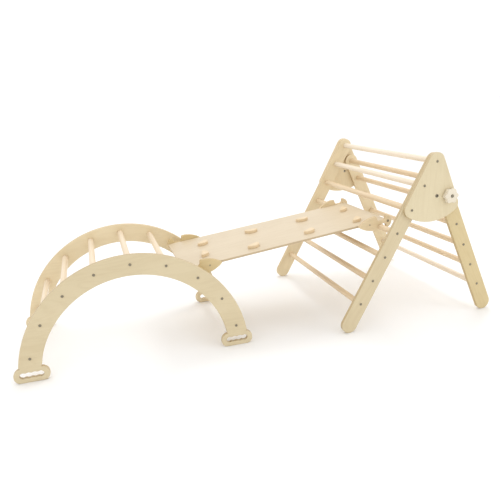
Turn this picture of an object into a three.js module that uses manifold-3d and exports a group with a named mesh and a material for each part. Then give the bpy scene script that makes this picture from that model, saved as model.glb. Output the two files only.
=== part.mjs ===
// Three-piece wooden climbing set for toddlers: an arch climber, a folding climbing triangle and a
// slide board with climbing holds, hooked between them on their rungs.
//
// Millimetres, +Z up. X runs along the set, from the arch (-X) to the triangle (+X), and Y across it.
// "left" is the +Y side and "right" the -Y side. The "front" frame of the triangle is the one that
// leans towards the slide board, the "rear" frame folds in against it. The origin is on the floor, at
// the middle of the whole set's footprint, and the triangle is centred on Y = 0.

import * as THREE from 'three';
import { mergeVertices } from 'three/addons/utils/BufferGeometryUtils.js';
import Module from 'manifold-3d';

const wasm = await Module();
wasm.setup();

const deg = THREE.MathUtils.degToRad;

// ---------------------------------------------------------------- driving dimensions

const GAP = 0.3;               // left between pieces that touch
const PLY = 18;                // plywood of the arch panels and the legs
const RUNG_R = 13;             // beech dowels
const RUNG_SIDES = 24;
const SIDES = [['left', 1], ['right', -1]];

const ARCH = {
  outer: 465.5, inner: 379.5,  // the two radii of the half ring
  centreZ: -3.5,               // its centre is a little below the floor
  width: 570,                  // over both panels
  rungRing: 425,               // the radius that the rungs stand on
  rungs: 9, step: deg(19.17),
  turn: deg(0.5),              // the middle rung is this far past the top, towards the triangle
  across: -61,                 // Y of its middle: the arch and the board stand off the triangle's middle
};
const PAD = { x: 415.5, width: 135, height: 60, topR: 30, lowR: 25, filletTop: 68 };
const SLOT = { length: 92, half: 11, wave: 1.2, fingers: 4, z: 30 };

const LEG_W = 72;              // the legs' ends are half rounds
const FOOT_R = LEG_W / 2;
const TRI_W = 857;             // over the legs
const APEX_Z = 723;            // the top rung
const FRONT = { lean: deg(30.1), first: 0, pitch: 114.8, rungs: 7 };
const REAR = { lean: deg(23.4), first: 98, pitch: 109.2, rungs: 6 };
const PLATE = { t: 16, apexR: 38, cornerR: 34, bellyR: 209, boltedRungs: 3 };
const PIVOT = { depth: 8, clearance: 0.5 };   // the rear frame's first rung turns in both plates
const LOCK = { fromPivot: 67, holeR: 4.6 };   // the star knob's hole, down the rear leg

const BOLT = { r: 3, holeR: 3.4, headR: 6.5, headH: 3.5, intoRung: 30 };
const STUD = { r: 4, headR: 6.5, headH: 4 };
const KNOB = { r: 34, scallop: 6, lobes: 6, t: 22, boreR: 4.6 };
const WASHER = { r: 12, holeR: 4.6, t: 1.5 };
const INSERT = { r: 6, holeR: 6.4, boreR: 4, flangeR: 8, flangeH: 0.8 };

const BOARD = { width: 425, t: 10, hookPitch: 871.6, overhang: 42 };
const HOOK = {
  t: 15, half: 32,             // each plate stands this far above and below the board's middle
  leaf: 114, leafTip: 4,       // its long end reaches this far from its middle, to a blunt point
  lobeR: 29,                   // its short end is rounded
  notchW: 43, notchR: 14,      // wide notches for a rung, above and below
  notchFloor: 7,
  shoulder: 10, corner: 4,     // how far the leaf's and the lobe's corners are rounded
};
const HOLD = { width: 62, depth: 32, t: 14, corner: 7 };
// where each hold is up the board from the arch's rung, how far off its middle, and the way its
// rounded side faces, turned from straight up the board towards the left
const HOLD_PLACES = {
  left: [
    { along: 110, across: 73, facing: deg(-50) },
    { along: 347, across: 78, facing: deg(-105) },
    { along: 611, across: 67, facing: deg(-92) },
    { along: 840, across: 75, facing: deg(-32) },
  ],
  right: [
    { along: 80, across: -92, facing: deg(-15) },
    { along: 293, across: -151, facing: deg(-64) },
    { along: 566, across: -137, facing: deg(-60) },
    { along: 804, across: -138, facing: deg(-42) },
  ],
};
const HOOKED = { archRung: 2, frontRung: 3 };  // counted from the arch's top and the triangle's top

// ---------------------------------------------------------------- derived places

const hookDrop = HOOK.notchFloor + RUNG_R + GAP;     // from the board's middle down to a rung's axis
const rearLength = (APEX_Z - FOOT_R) / Math.cos(REAR.lean);
const frontLength = (APEX_Z - FOOT_R) / Math.cos(FRONT.lean);

// X and Z of a point on a leg's centre line, a distance down from the apex, relative to the apex's X
const downFront = (d) => new THREE.Vector2(-d * Math.sin(FRONT.lean), APEX_Z - d * Math.cos(FRONT.lean));
const downRear = (d) => new THREE.Vector2(d * Math.sin(REAR.lean), APEX_Z - d * Math.cos(REAR.lean));
const archRungAt = (k) => {
  const turn = ARCH.turn + k * ARCH.step;
  const { rungRing, centreZ } = ARCH;
  return new THREE.Vector2(rungRing * Math.sin(turn), centreZ + rungRing * Math.cos(turn));
};

// the board sets how far the triangle stands from the arch
const lowHooked = archRungAt(HOOKED.archRung);
const topHooked = downFront(HOOKED.frontRung * FRONT.pitch);
const slope = Math.asin((topHooked.y - lowHooked.y) / BOARD.hookPitch);
const apexFromArch = lowHooked.x + BOARD.hookPitch * Math.cos(slope) - topHooked.x;
const endReach = PAD.x + PAD.width / 2;
const rearFootX = downRear(rearLength).x + FOOT_R;
const archX = -(apexFromArch + rearFootX + endReach) / 2 + endReach;
const apexX = archX + apexFromArch;

const legOut = TRI_W / 2;
const legIn = legOut - PLY;
const plateIn = legOut + GAP;
const plateOut = plateIn + PLATE.t;

// ---------------------------------------------------------------- materials

const finish = (color, roughness, metalness = 0) =>
  new THREE.MeshStandardMaterial({ color, roughness, metalness });
const birch = finish(0xe4cfa0, 0.55);
const birchBoard = finish(0xf0dfc0, 0.55);
const beech = finish(0xf0d2a8, 0.5);
const holdWood = finish(0xf1dcb6, 0.55);
const knobWood = finish(0xf2e6cf, 0.5);
const steel = finish(0x6b6b6b, 0.35, 0.9);

// ---------------------------------------------------------------- helpers

const set = new THREE.Group();

function piece(parent, name, geometry, material, x = 0, y = 0, z = 0) {
  const mesh = new THREE.Mesh(geometry, material);
  mesh.name = name;
  mesh.position.set(x, y, z);
  parent.add(mesh);
  return mesh;
}

// The points of a path, without the repeats where one curve meets the next.
function pointsOf(path, segments) {
  const points = path.getPoints(segments);
  return points.filter((p, i) => p.distanceTo(points.at(i - 1)) > 0.01);
}

// A plate cut from sheet: its outline is drawn in X and Z, and it is `t` thick along Y, centred on
// y = 0. The outline may be drawn either way round.
function sheet(shape, t, segments = 12) {
  const points = pointsOf(shape, segments);
  if (THREE.ShapeUtils.isClockWise(points)) points.reverse();
  const outline = new THREE.Shape(points);
  outline.holes = shape.holes.map((path) => new THREE.Path(pointsOf(path, segments)));
  const geometry = new THREE.ExtrudeGeometry(outline, { depth: t, bevelEnabled: false });
  return geometry.rotateX(Math.PI / 2).translate(0, t / 2, 0);
}

// A turned piece about Y, its outline given as [radius, height] pairs that start and end on the axis.
function turned(profile, sides) {
  return new THREE.LatheGeometry(profile.map(([r, y]) => new THREE.Vector2(r, y)), sides);
}

function hole(shape, x, z, r) {
  shape.holes.push(new THREE.Path().absarc(x, z, r, 0, 2 * Math.PI, true));
}

// A straight strip with half-round ends, centred on the two points.
function strip(a, b, r) {
  const across = Math.atan2(b.y - a.y, b.x - a.x) + Math.PI / 2;
  const shape = new THREE.Shape();
  shape.absarc(a.x, a.y, r, across, across + Math.PI, false);
  shape.absarc(b.x, b.y, r, across + Math.PI, across + 2 * Math.PI, false);
  shape.closePath();
  return shape;
}

function solid(geometry) {
  const bare = geometry.clone();
  bare.deleteAttribute('normal');
  bare.deleteAttribute('uv');
  const merged = mergeVertices(bare, 1e-4);
  return new wasm.Manifold(new wasm.Mesh({
    numProp: 3,
    vertProperties: merged.attributes.position.array,
    triVerts: merged.index.array,
  }));
}

function fromSolid(body) {
  const mesh = body.getMesh();
  const geometry = new THREE.BufferGeometry();
  geometry.setAttribute('position', new THREE.BufferAttribute(mesh.vertProperties, 3));
  geometry.setIndex(new THREE.BufferAttribute(mesh.triVerts, 1));
  geometry.computeVertexNormals();
  return geometry;
}

// ---------------------------------------------------------------- rungs and bolts

// A dowel of the given length, with a blind hole in each end where a bolt goes in.
function rung(length, bored = false) {
  const end = length / 2;
  if (!bored) {
    return turned([[0, -end], [RUNG_R, -end], [RUNG_R, end], [0, end]], RUNG_SIDES);
  }
  const floor = end - BOLT.intoRung - 1;
  const outline = [[0, -floor], [BOLT.holeR, -floor], [BOLT.holeR, -end], [RUNG_R, -end]];
  const mirrored = outline.map(([r, y]) => [r, -y]).reverse();
  return turned([...outline, ...mirrored], RUNG_SIDES);
}

// A button-headed bolt: its head sits on y = 0 and its shank runs down -Y.
function buttonBolt({ r, headR, headH }, length) {
  return turned([
    [0, -length], [r, -length], [r, 0], [headR, 0], [headR, headH * 0.4], [headR * 0.6, headH], [0, headH],
  ], 12);
}

// ---------------------------------------------------------------- arch climber

function pad(shape, x) {
  const { width, height, topR, lowR } = PAD;
  const [a, b] = [x - width / 2, x + width / 2];
  shape.absarc(a + topR, height - topR, topR, Math.PI / 2, Math.PI, false);
  shape.absarc(a + lowR, lowR, lowR, Math.PI, 1.5 * Math.PI, false);
  shape.absarc(b - lowR, lowR, lowR, 1.5 * Math.PI, 2 * Math.PI, false);
  shape.absarc(b - topR, height - topR, topR, 0, Math.PI / 2, false);
}

// The hand slot in each pad, with a shallow wave for every finger.
function handSlot(x) {
  const { length, half, wave, fingers, z } = SLOT;
  const straight = length / 2 - half;
  const steps = 4 * fingers;
  const height = (u) => half - wave * Math.cos(2 * Math.PI * u * fingers / length);
  const path = new THREE.Path();
  const ends = [];
  for (let i = 0; i <= steps; i += 1) ends.push(-straight + 2 * straight * i / steps);
  const cap = (side) => [0.25, 0.5, 0.75].map((f) => {
    const turn = Math.PI * f;
    return [side * (straight + half * Math.sin(turn)), side * half * Math.cos(turn)];
  });
  const outline = [
    ...ends.map((u) => [u, height(u)]), ...cap(1),
    ...ends.map((u) => [-u, -height(u)]), ...cap(-1),
  ];
  path.setFromPoints(outline.map(([u, v]) => new THREE.Vector2(x + u, z + v)).reverse());
  path.closePath();
  return path;
}

function archPanel() {
  const { outer, inner, centreZ } = ARCH;
  const { height, filletTop, width, topR, x } = PAD;
  const reachAt = (r, z) => Math.sqrt(r ** 2 - (z - centreZ) ** 2);
  const outerStart = Math.asin((filletTop - centreZ) / outer);
  const innerStart = Math.asin((filletTop - centreZ) / inner);
  const shape = new THREE.Shape();
  shape.absarc(0, centreZ, outer, outerStart, Math.PI - outerStart, false);
  shape.quadraticCurveTo(-reachAt(outer, height), height, -(x + width / 2 - topR), height);
  pad(shape, -x);
  shape.quadraticCurveTo(-reachAt(inner, height), height, -reachAt(inner, filletTop), filletTop);
  shape.absarc(0, centreZ, inner, Math.PI - innerStart, innerStart, true);
  shape.quadraticCurveTo(reachAt(inner, height), height, x - width / 2 + topR, height);
  pad(shape, x);
  shape.quadraticCurveTo(reachAt(outer, height), height, reachAt(outer, filletTop), filletTop);
  shape.holes.push(handSlot(-x), handSlot(x));
  return shape;
}

function buildArch() {
  const arch = new THREE.Group();
  arch.position.set(archX, ARCH.across, 0);
  const panel = new THREE.ExtrudeGeometry(finePanel(), { depth: PLY, bevelEnabled: false });
  panel.rotateX(Math.PI / 2).translate(0, PLY / 2, 0);
  for (const [side, sign] of SIDES) {
    piece(arch, `arch_panel_${side}`, panel, birch, 0, sign * (ARCH.width - PLY) / 2);
  }
  const middle = (ARCH.rungs - 1) / 2;
  const length = ARCH.width - 2 * PLY - 2 * GAP;
  for (let i = 0; i < ARCH.rungs; i += 1) {
    const at = archRungAt(i - middle);
    piece(arch, `arch_rung_${i + 1}`, rung(length), beech, at.x, 0, at.y);
  }
  set.add(arch);
}

// The panel's outline as points: close ones round the big arcs, fewer round the pads' corners.
function finePanel() {
  const outline = archPanel();
  const points = [];
  for (const curve of outline.curves) {
    const r = curve.xRadius ?? 0;
    const count = r > 100 ? 44 : r > 0 ? 5 : curve.isLineCurve ? 1 : 3;
    points.push(...curve.getPoints(count).slice(0, -1));
  }
  const shape = new THREE.Shape(points);
  shape.holes = outline.holes;
  return shape;
}

// ---------------------------------------------------------------- climbing triangle

const pivot = downRear(REAR.first);
const lockHole = downRear(REAR.first + LOCK.fromPivot);
// where the lock hole of the rear leg comes to when the frame is folded flat against the front one
const parkHole = new THREE.Vector2(
  pivot.x - LOCK.fromPivot * Math.sin(FRONT.lean),
  pivot.y - LOCK.fromPivot * Math.cos(FRONT.lean),
);

// The gusset plate: three rounded corners over the top rung, the front frame's third rung and the
// rear frame's second rung, with straight sides and a bellied lower edge.
function plateShape() {
  const apex = new THREE.Vector2(0, APEX_Z);
  const frontCorner = downFront((PLATE.boltedRungs - 1) * FRONT.pitch);
  const rearCorner = downRear(REAR.first + REAR.pitch);
  const chord = rearCorner.clone().sub(frontCorner);
  const rise = Math.sqrt((PLATE.bellyR - PLATE.cornerR) ** 2 - (chord.length() / 2) ** 2);
  const up = new THREE.Vector2(-chord.y, chord.x).normalize();
  const belly = frontCorner.clone().addScaledVector(chord, 0.5).addScaledVector(up, rise);
  const heading = (from, to) => Math.atan2(to.y - from.y, to.x - from.x);
  // angle of the normal to the straight side that touches a corner of radius a and one of radius b
  const sideNormal = (from, to, a, b, sign) =>
    heading(from, to) + sign * Math.acos((a - b) / from.distanceTo(to));
  const frontSide = sideNormal(apex, frontCorner, PLATE.apexR, PLATE.cornerR, -1);
  const rearSide = sideNormal(apex, rearCorner, PLATE.apexR, PLATE.cornerR, 1);
  const shape = new THREE.Shape();
  shape.absarc(apex.x, apex.y, PLATE.apexR, rearSide, frontSide + 2 * Math.PI, false);
  shape.absarc(frontCorner.x, frontCorner.y, PLATE.cornerR, frontSide,
    heading(belly, frontCorner), false);
  shape.absarc(belly.x, belly.y, PLATE.bellyR, heading(belly, frontCorner),
    heading(belly, rearCorner), false);
  shape.absarc(rearCorner.x, rearCorner.y, PLATE.cornerR, heading(belly, rearCorner), rearSide, false);
  shape.closePath();
  for (let k = 0; k < PLATE.boltedRungs; k += 1) {
    const at = downFront(k * FRONT.pitch);
    hole(shape, at.x, at.y, BOLT.holeR);
  }
  hole(shape, lockHole.x, lockHole.y, LOCK.holeR);
  hole(shape, parkHole.x, parkHole.y, INSERT.holeR);
  return shape;
}

// The plate with a blind bore in its inner face, for the end of the rung that the rear frame turns on.
function plateGeometry(sign) {
  const bore = new THREE.CylinderGeometry(RUNG_R + PIVOT.clearance, RUNG_R + PIVOT.clearance,
    2 * PIVOT.depth, RUNG_SIDES);
  bore.translate(pivot.x, -sign * PLATE.t / 2, pivot.y);
  return fromSolid(solid(sheet(plateShape(), PLATE.t, 9)).subtract(solid(bore)));
}

function buildFrontFrame(triangle) {
  const leg = strip(downFront(0), downFront(frontLength), FOOT_R);
  for (let k = 0; k < PLATE.boltedRungs; k += 1) {
    const at = downFront(k * FRONT.pitch);
    hole(leg, at.x, at.y, BOLT.holeR);
  }
  const bolt = buttonBolt(BOLT, PLATE.t + PLY + GAP + BOLT.intoRung);
  for (const [side, sign] of SIDES) {
    piece(triangle, `front_leg_${side}`, sheet(leg, PLY, 9), birch, 0, sign * (legOut - PLY / 2));
    piece(triangle, `gusset_plate_${side}`, plateGeometry(sign), birch, 0, sign * (plateIn + PLATE.t / 2));
    for (let k = 0; k < PLATE.boltedRungs; k += 1) {
      const at = downFront(k * FRONT.pitch);
      const mesh = piece(triangle, `plate_bolt_${side}_${k + 1}`, bolt, steel, at.x,
        sign * (plateOut + GAP), at.y);
      if (sign < 0) mesh.rotation.z = Math.PI;
    }
  }
  for (let k = 0; k < FRONT.rungs; k += 1) {
    const at = downFront(k * FRONT.pitch);
    const bored = k < PLATE.boltedRungs;
    piece(triangle, `front_rung_${k + 1}`, rung(2 * (legIn - GAP), bored), beech, at.x, 0, at.y);
  }
}

function buildRearFrame(triangle) {
  const leg = strip(pivot, downRear(rearLength), FOOT_R);
  hole(leg, pivot.x, pivot.y, RUNG_R + PIVOT.clearance);
  for (const [side, sign] of SIDES) {
    piece(triangle, `rear_leg_${side}`, sheet(leg, PLY, 9), birch, 0, sign * (legOut - PLY / 2));
  }
  const pivotLength = 2 * (plateIn + PIVOT.depth - 1);
  piece(triangle, 'rear_rung_1', rung(pivotLength), beech, pivot.x, 0, pivot.y);
  for (let k = 1; k < REAR.rungs; k += 1) {
    const at = downRear(REAR.first + k * REAR.pitch);
    piece(triangle, `rear_rung_${k + 1}`, rung(2 * (legIn - GAP)), beech, at.x, 0, at.y);
  }
}

// A star knob: a round with shallow scallops between its lobes.
function starShape() {
  const points = [];
  const count = 8 * KNOB.lobes;
  for (let i = 0; i < count; i += 1) {
    const turn = 2 * Math.PI * i / count;
    const r = KNOB.r - KNOB.scallop * (1 - Math.cos(KNOB.lobes * turn)) / 2;
    points.push(new THREE.Vector2(r * Math.cos(turn), r * Math.sin(turn)));
  }
  const shape = new THREE.Shape(points);
  hole(shape, 0, 0, KNOB.boreR);
  return shape;
}

function ring(r, holeR, t, sides = 16) {
  return turned([[holeR, 0], [r, 0], [r, t], [holeR, t], [holeR, 0]], sides);
}

// The insert that takes the knob's stud when the frame is folded: a sleeve with a thin flange.
function insertGeometry() {
  const { r, boreR, flangeR, flangeH } = INSERT;
  const length = PLATE.t - 3;
  return turned([
    [boreR, -length], [r, -length], [r, 0], [flangeR, 0], [flangeR, flangeH], [boreR, flangeH],
    [boreR, -length],
  ], 12);
}

function buildLocks(triangle) {
  const washerIn = plateOut + GAP;
  const knobIn = washerIn + WASHER.t + GAP;
  const studSeat = knobIn + KNOB.t + GAP;
  const stud = buttonBolt(STUD, studSeat - plateIn - GAP);
  for (const [side, sign] of SIDES) {
    const outward = (mesh) => {
      if (sign < 0) mesh.rotation.z = Math.PI;
    };
    const { x, y } = lockHole;
    outward(piece(triangle, `lock_washer_${side}`, ring(WASHER.r, WASHER.holeR, WASHER.t), steel,
      x, sign * washerIn, y));
    piece(triangle, `star_knob_${side}`, sheet(starShape(), KNOB.t), knobWood, x,
      sign * (knobIn + KNOB.t / 2), y);
    outward(piece(triangle, `knob_stud_${side}`, stud, steel, x, sign * studSeat, y));
    outward(piece(triangle, `park_insert_${side}`, insertGeometry(), steel, parkHole.x,
      sign * (plateOut + GAP), parkHole.y));
  }
}

function buildTriangle() {
  const triangle = new THREE.Group();
  triangle.position.x = apexX;
  buildFrontFrame(triangle);
  buildRearFrame(triangle);
  buildLocks(triangle);
  set.add(triangle);
}

// ---------------------------------------------------------------- slide board

// One hook plate, drawn along the board: a leaf towards -X, a rounded lobe towards +X, and between
// them a notch above and one below, so that the board hooks on with either face up.
function hookShape() {
  const { half, leaf, leafTip, lobeR, notchW, notchR, notchFloor, shoulder, corner } = HOOK;
  const wall = notchW / 2;
  const notchZ = notchFloor + notchR;
  // two flat arcs run from the shoulders to the leaf's tip
  const [top, tip] = [-wall - shoulder, leafTip - leaf];
  const leafR = ((top - tip) ** 2 + half ** 2 - leafTip ** 2) / (2 * (half - leafTip));
  const fall = Math.atan2(leafR - half, tip - top);
  const lobeTurn = Math.acos(corner / lobeR);
  const lobeTop = lobeR * Math.sin(lobeTurn);
  const shape = new THREE.Shape();
  shape.moveTo(-wall, shoulder - half);
  shape.quadraticCurveTo(-wall, -half, top, -half);
  shape.absarc(top, leafR - half, leafR, -Math.PI / 2, -fall, true);
  shape.absarc(tip, 0, leafTip, -fall, fall, true);
  shape.absarc(top, half - leafR, leafR, fall, Math.PI / 2, true);
  shape.quadraticCurveTo(-wall, half, -wall, half - shoulder);
  shape.absarc(notchR - wall, notchZ, notchR, Math.PI, 1.5 * Math.PI, false);
  shape.absarc(wall - notchR, notchZ, notchR, 1.5 * Math.PI, 2 * Math.PI, false);
  shape.lineTo(wall, lobeTop - corner);
  shape.quadraticCurveTo(wall, lobeTop, wall + corner, lobeTop);
  shape.absarc(wall, 0, lobeR, lobeTurn, -lobeTurn, true);
  shape.quadraticCurveTo(wall, -lobeTop, wall, corner - lobeTop);
  shape.absarc(wall - notchR, -notchZ, notchR, 0, Math.PI / 2, false);
  shape.absarc(notchR - wall, -notchZ, notchR, Math.PI / 2, Math.PI, false);
  return shape;
}

// A climbing hold: a half-moon block, its rounded side towards +X and its seat on z = 0.
function holdGeometry() {
  const { width, depth, t, corner } = HOLD;
  const reach = width / 2 - corner;
  const backR = (reach ** 2 + depth ** 2 - 2 * depth * corner) / (2 * (depth - 2 * corner));
  const turn = Math.atan2(reach, backR - depth + corner);
  const shape = new THREE.Shape();
  shape.absarc(corner, -reach, corner, Math.PI, 2 * Math.PI - turn, false);
  shape.absarc(depth - backR, 0, backR, -turn, turn, false);
  shape.absarc(corner, reach, corner, turn, Math.PI, false);
  const outline = new THREE.Shape(pointsOf(shape, 7));
  return new THREE.ExtrudeGeometry(outline, { depth: t, bevelEnabled: false }).translate(-depth / 2, 0, 0);
}

// Built lying flat, with the arch's rung below x = 0, and then tilted up to the triangle's rung.
function buildBoard() {
  const board = new THREE.Group();
  const length = BOARD.hookPitch + 2 * BOARD.overhang;
  board.position.set(
    archX + lowHooked.x - hookDrop * Math.sin(slope), ARCH.across, lowHooked.y + hookDrop * Math.cos(slope),
  );
  board.rotation.y = -slope;
  piece(board, 'slide_board', new THREE.BoxGeometry(length, BOARD.width, BOARD.t), birchBoard,
    BOARD.hookPitch / 2);
  // the board is pushed up towards the triangle, so each rung lies at the lower end of its notch
  const shift = HOOK.notchW / 2 - HOOK.notchR;
  for (const [end, x, turn] of [['lower', 0, Math.PI], ['upper', BOARD.hookPitch, 0]]) {
    for (const [side, sign] of SIDES) {
      const hook = piece(board, `hook_${end}_${side}`, sheet(hookShape(), HOOK.t, 7), birch,
        x + shift, sign * (BOARD.width / 2 + GAP + HOOK.t / 2));
      hook.rotation.z = turn;
    }
  }
  for (const [side] of SIDES) {
    HOLD_PLACES[side].forEach(({ along, across, facing }, i) => {
      const hold = piece(board, `hold_${side}_${i + 1}`, holdGeometry(), holdWood,
        along, across, BOARD.t / 2 + GAP);
      hold.rotation.z = facing;
    });
  }
  set.add(board);
}

buildArch();
buildTriangle();
buildBoard();

export default set;
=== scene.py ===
"""Blender looks for the three-piece wooden climbing set: an arch climber, a folding climbing
triangle and a slide board with climbing holds, in lacquered birch plywood, beech dowel and
zinc-plated steel.

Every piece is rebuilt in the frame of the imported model, in metres. A sheet piece is drawn as a
(u, v) outline, and its thickness is w, so that one plywood material can show the veneer on a face
and the plies on an edge. The face grain runs along u, or along v where it is turned by a quarter.
"right" is the -Y side of the set.
"""

import math
import random

import bmesh
import bpy
from mathutils import Matrix, Vector
from mathutils.geometry import tessellate_polygon


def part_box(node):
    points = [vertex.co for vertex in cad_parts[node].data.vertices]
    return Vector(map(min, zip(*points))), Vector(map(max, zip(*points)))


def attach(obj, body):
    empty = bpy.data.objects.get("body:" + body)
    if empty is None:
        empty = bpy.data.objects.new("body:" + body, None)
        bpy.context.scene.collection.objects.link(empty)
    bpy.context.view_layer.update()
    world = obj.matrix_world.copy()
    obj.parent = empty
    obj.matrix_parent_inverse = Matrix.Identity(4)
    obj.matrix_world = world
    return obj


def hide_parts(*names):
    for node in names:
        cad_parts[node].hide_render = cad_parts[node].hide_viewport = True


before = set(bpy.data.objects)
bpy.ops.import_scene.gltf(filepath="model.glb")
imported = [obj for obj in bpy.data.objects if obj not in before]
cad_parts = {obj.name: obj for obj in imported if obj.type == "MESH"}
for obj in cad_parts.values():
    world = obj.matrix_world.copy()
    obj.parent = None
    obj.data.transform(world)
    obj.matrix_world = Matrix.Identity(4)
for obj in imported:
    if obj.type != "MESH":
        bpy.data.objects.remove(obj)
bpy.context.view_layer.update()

# ------------------------------------------------------------------ dimensions, in metres

MM = 0.001
SIDES = (("left", 1), ("right", -1))
FULL = 2 * math.pi
QUARTER = math.pi / 2

PANEL_T = 18 * MM
PANEL_EDGE = 2.6 * MM          # routed radius round the panels' edges
ARCH_OUTER, ARCH_INNER = 465.5 * MM, 379.5 * MM
ARCH_CENTRE = -3.5 * MM        # the rings' centre is a little below the floor
PAD = {"x": 415.5 * MM, "width": 135 * MM, "height": 60 * MM, "top": 30 * MM, "low": 25 * MM}
PAD_FILLET = 68 * MM           # the curves from the ring to its pads start at this height
SLOT = {"length": 92 * MM, "half": 11 * MM, "wave": 1.2 * MM, "fingers": 4, "z": 30 * MM}

RUNG_R = 13 * MM
RUNG_EASE = 0.7 * MM           # the eased rims at a rung's ends
ARCH_RUNGS, FRONT_RUNGS, REAR_RUNGS = 9, 7, 6
LEG_HALF = 36 * MM

PLATE_T = 16 * MM
PLATE = {"apex": 38 * MM, "corner": 34 * MM, "belly": 209 * MM}
PLATE_EDGE = 2.2 * MM
PLATE_FRONT_RUNGS = 3          # the rungs whose ends the gusset plates cover, from the top
PLATE_REAR_RUNGS = 2

HOOK_T = 15 * MM
HOOK = {
    "half": 32 * MM, "leaf": 114 * MM, "tip": 4 * MM, "lobe": 29 * MM, "notch_w": 43 * MM,
    "notch_r": 14 * MM, "floor": 7 * MM, "shoulder": 10 * MM, "corner": 4 * MM,
}
HOOK_EDGE = 1.6 * MM
HOOK_BOLT, HOOK_SCREW = 31 * MM, -61 * MM     # from the plate's middle, towards its lobe
HOOK_SCREW_R = 3.6 * MM
HOOK_PLAY = 0.3 * MM           # between a rung and the floor of the notch that it lies in

BOARD_T = 10 * MM
BOARD_EDGE = 2 * MM
BOARD_CORNER = 4 * MM
HOLD = {"width": 62 * MM, "depth": 32 * MM, "t": 14 * MM, "corner": 7 * MM}
HOLD_EDGE, HOLD_SEAT_EDGE = 3.4 * MM, 0.5 * MM
HOLD_FACING = {"left": (-50, -105, -92, -32), "right": (-15, -64, -60, -42)}   # in degrees
HOLD_SCREW_R = 4.2 * MM
HOLD_SCREW_SPREAD = 17 * MM    # two screws from below hold each climbing hold
HOLD_SCREW_PROUD = 0.3 * MM

KNOB = {"r": 34 * MM, "scallop": 6 * MM, "lobes": 6, "bore": 5.2 * MM}
KNOB_EDGE, KNOB_BACK_EDGE = 4.5 * MM, 2 * MM
STUD_HOLE_R = 4.6 * MM
STUD_R, STUD_TIP_R = 4 * MM, 3.2 * MM
STUD_CHAMFER = 1 * MM
STUD_PLAY = 0.1 * MM           # between the stud's head and the knob
WASHER = {"r": 12 * MM, "edge": 0.4 * MM}
INSERT = {"bore": 4 * MM, "sleeve": 6 * MM, "flange": 8 * MM, "flange_t": 0.8 * MM}
INSERT_HOLE_R = 6.4 * MM

# Sections of turned steel, in millimetres: (height over the wood, radius), from the shank outwards.
# A socket is (height, width over its flats), from its rim to its floor.
BUTTON_HEAD = (
    (-1.5, 3.0), (0, 3.0), (0, 6.3), (0.35, 6.5), (0.9, 6.45),
    (1.9, 5.9), (2.7, 5.0), (3.2, 3.9), (3.4, 2.9),
)
BUTTON_SOCKET = ((3.4, 4.0), (1.5, 4.0))
BUTTON_SCALE = 0.88
STUD_HEAD = ((0, 4.0), (0, 6.2), (0.4, 6.5), (1.2, 6.4), (2.4, 5.8), (3.3, 4.8), (3.8, 3.4))
STUD_SOCKET = ((3.8, 4.6), (1.6, 4.6))
SCREW_SOCKET = ((0.4, 2.6), (-1.2, 2.6))
STEEL_SIDES = 24

PLY = 1.4 * MM                 # about one ply of the plywood
CREASE = math.radians(40)      # turned pieces are shaded sharp where they bend more than this
MERGE = 0.02 * MM              # points of an outline that are nearer than this are one


def middle(node):
    """The middle of a CAD node's box."""
    low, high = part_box(node)
    return (low + high) / 2


def flat(point):
    """A point's X and Z."""
    return Vector((point.x, point.z))


# the arch's middle, on the floor
arch_at = middle("arch_panel_left")
arch_at.z = 0
arch_at.y = middle("arch_rung_5").y
front_rungs = [middle(f"front_rung_{k + 1}") for k in range(FRONT_RUNGS)]
rear_rungs = [middle(f"rear_rung_{k + 1}") for k in range(REAR_RUNGS)]
# the two rungs that the board is hooked on
lower_hooked = middle("arch_rung_7")
upper_hooked = middle("front_rung_4")
board_slope = math.atan2(upper_hooked.z - lower_hooked.z, upper_hooked.x - lower_hooked.x)

# ------------------------------------------------------------------ outlines


def arc(cx, cy, r, start, end, count=12):
    """Points round a centre, from one angle to another, in radians."""
    return [
        Vector((cx + r * math.cos(a), cy + r * math.sin(a)))
        for a in (start + (end - start) * i / count for i in range(count + 1))
    ]


def curve(a, b, c, count=5):
    """A quadratic curve from a to c that leans on b."""
    a, b, c = Vector(a), Vector(b), Vector(c)
    steps = [i / count for i in range(count + 1)]
    return [a * (1 - t) ** 2 + b * 2 * t * (1 - t) + c * t**2 for t in steps]


def cleaned(points):
    """The loop without repeated points."""
    return [p for i, p in enumerate(points) if (p - points[i - 1]).length > MERGE]


def circle(cx, cy, r, count=28):
    """A circle, drawn clockwise."""
    return arc(cx, cy, r, FULL, 0, count)[:-1]


def signed_area(points):
    """The loop's area, below 0 where it runs clockwise."""
    return sum(a.cross(b) for a, b in zip(points, points[1:] + points[:1])) / 2


def leg_outline(length):
    """A straight strip along u, its half-round ends centred on u = 0 and on its length."""
    upper_end = arc(0, 0, LEG_HALF, QUARTER, 3 * QUARTER, 32)
    lower_end = arc(length, 0, LEG_HALF, 3 * QUARTER, 5 * QUARTER, 32)
    return upper_end + lower_end


def pad_outline(x):
    """A foot pad, from its left top corner round the bottom to its right one."""
    w, h, top, low = PAD["width"], PAD["height"], PAD["top"], PAD["low"]
    a, b = x - w / 2, x + w / 2
    return (
        arc(a + top, h - top, top, math.pi / 2, math.pi, 10)
        + arc(a + low, low, low, math.pi, 1.5 * math.pi, 8)
        + arc(b - low, low, low, 1.5 * math.pi, FULL, 8)
        + arc(b - top, h - top, top, 0, math.pi / 2, 10)
    )


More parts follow.
